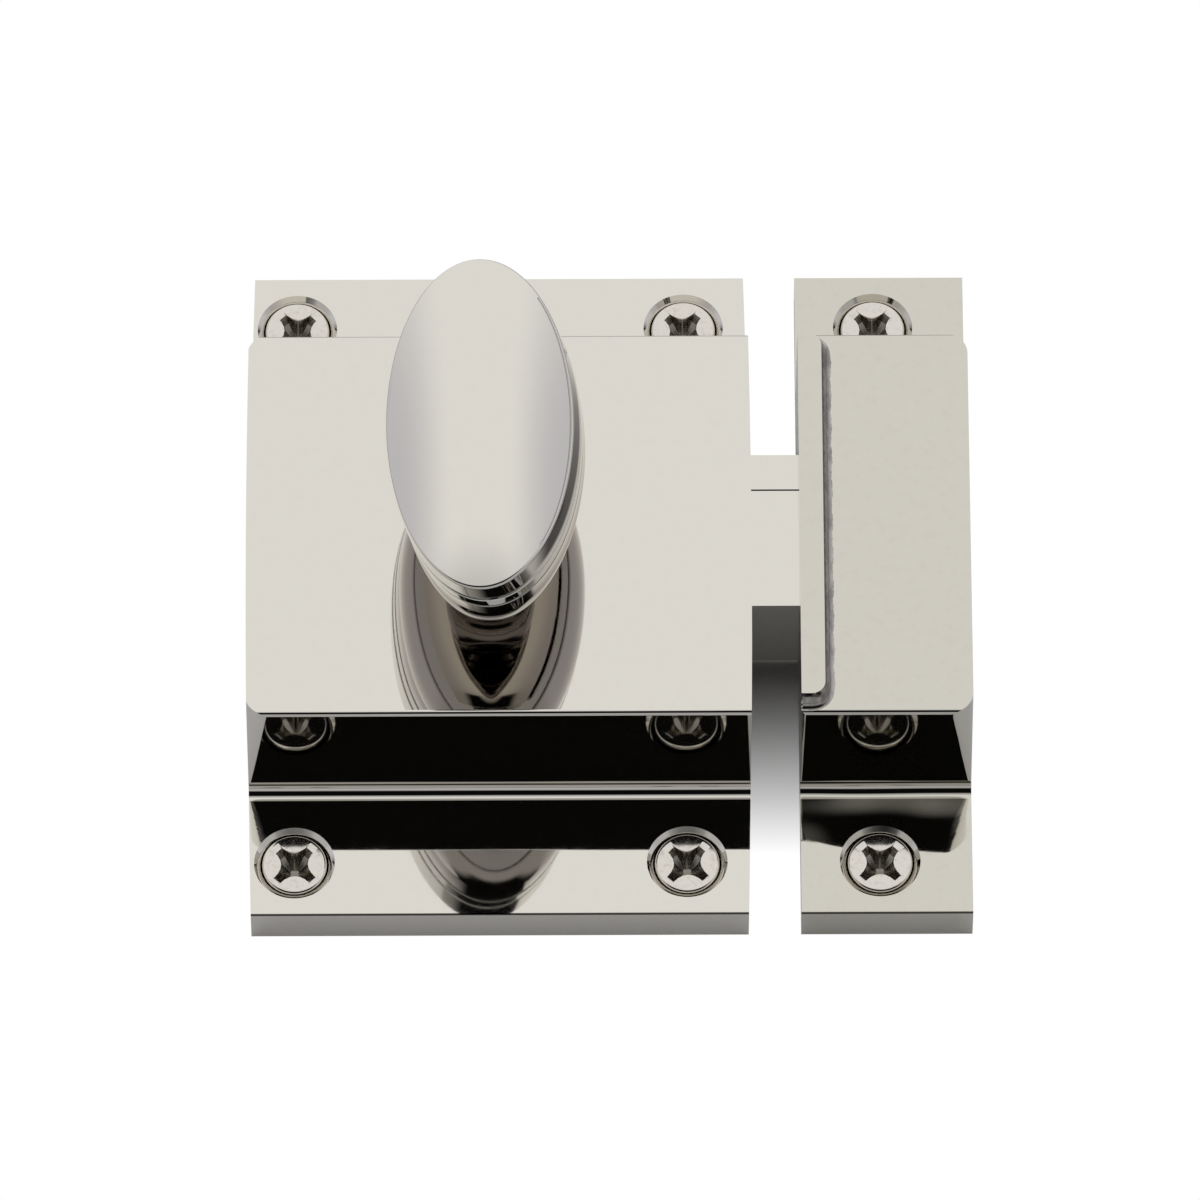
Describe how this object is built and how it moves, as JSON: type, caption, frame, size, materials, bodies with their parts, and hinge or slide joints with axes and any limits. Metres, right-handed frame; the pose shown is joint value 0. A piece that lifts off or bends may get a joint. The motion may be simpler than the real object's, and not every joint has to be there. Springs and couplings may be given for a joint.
{
  "type": "cupboard catch latch",
  "caption": "Two-piece cupboard catch: flanged case with an oval turn knob and sliding spring bolt, and a raised-lip keeper, for screwing to a door and frame.",
  "frame": {"origin": "on the knob's turning axis, in the mounting plane at the back of the case", "axes": "+X from the case towards the keeper, along the bolt; +Y along the door's edge, upwards on a door hinged on the left; +Z out of the door, along the knob's axis"},
  "size_m": [0.0728, 0.0742, 0.0572],
  "materials": {
    "polished_nickel": "polished nickel plate on cast brass",
    "nickel_screws": "nickel-plated steel",
    "zinc_plated_steel": "zinc-plated sheet",
    "bright_steel": "turned bright steel",
    "cast_brass": "as cast and machined",
    "spring_steel": "drawn wire"
  },
  "bodies": {
    "case": {"case": "polished_nickel", "back_plate": "zinc_plated_steel", "back_plate_screw_1": "bright_steel", "back_plate_screw_2": "bright_steel", "back_plate_screw_3": "bright_steel", "back_plate_screw_4": "bright_steel", "case_screw_1": "nickel_screws", "case_screw_2": "nickel_screws", "case_screw_3": "nickel_screws", "case_screw_4": "nickel_screws", "keeper": "polished_nickel", "keeper_screw_1": "nickel_screws", "keeper_screw_2": "nickel_screws", "spring_rod": "bright_steel", "bolt_spring": "spring_steel"},
    "knob": {"knob": "polished_nickel", "knob_set_screw": "bright_steel", "spindle": "bright_steel", "cam": "cast_brass", "drive_pin": "bright_steel", "thrust_washer": "bright_steel", "end_washer": "bright_steel", "end_screw": "bright_steel"},
    "bolt": {"bolt": "polished_nickel"}
  },
  "joints": [
    {"name": "knob_turn", "type": "hinge", "parent": "case", "child": "knob", "pos_m": [0, 0, 0], "axis": [0, 0, -1], "range_deg": [0, 60]},
    {"name": "bolt_slide", "type": "slide", "parent": "case", "child": "bolt", "axis": [1, 0, 0], "range_m": [-0.0096, 0], "stiffness_N_per_m": 350, "springref_m": 0.0115, "deforming": ["bolt_spring"]}
  ],
  "couplings": [
    {"joint": "knob_turn", "follows": "bolt_slide", "rad_per_m": -109.08}
  ]
}
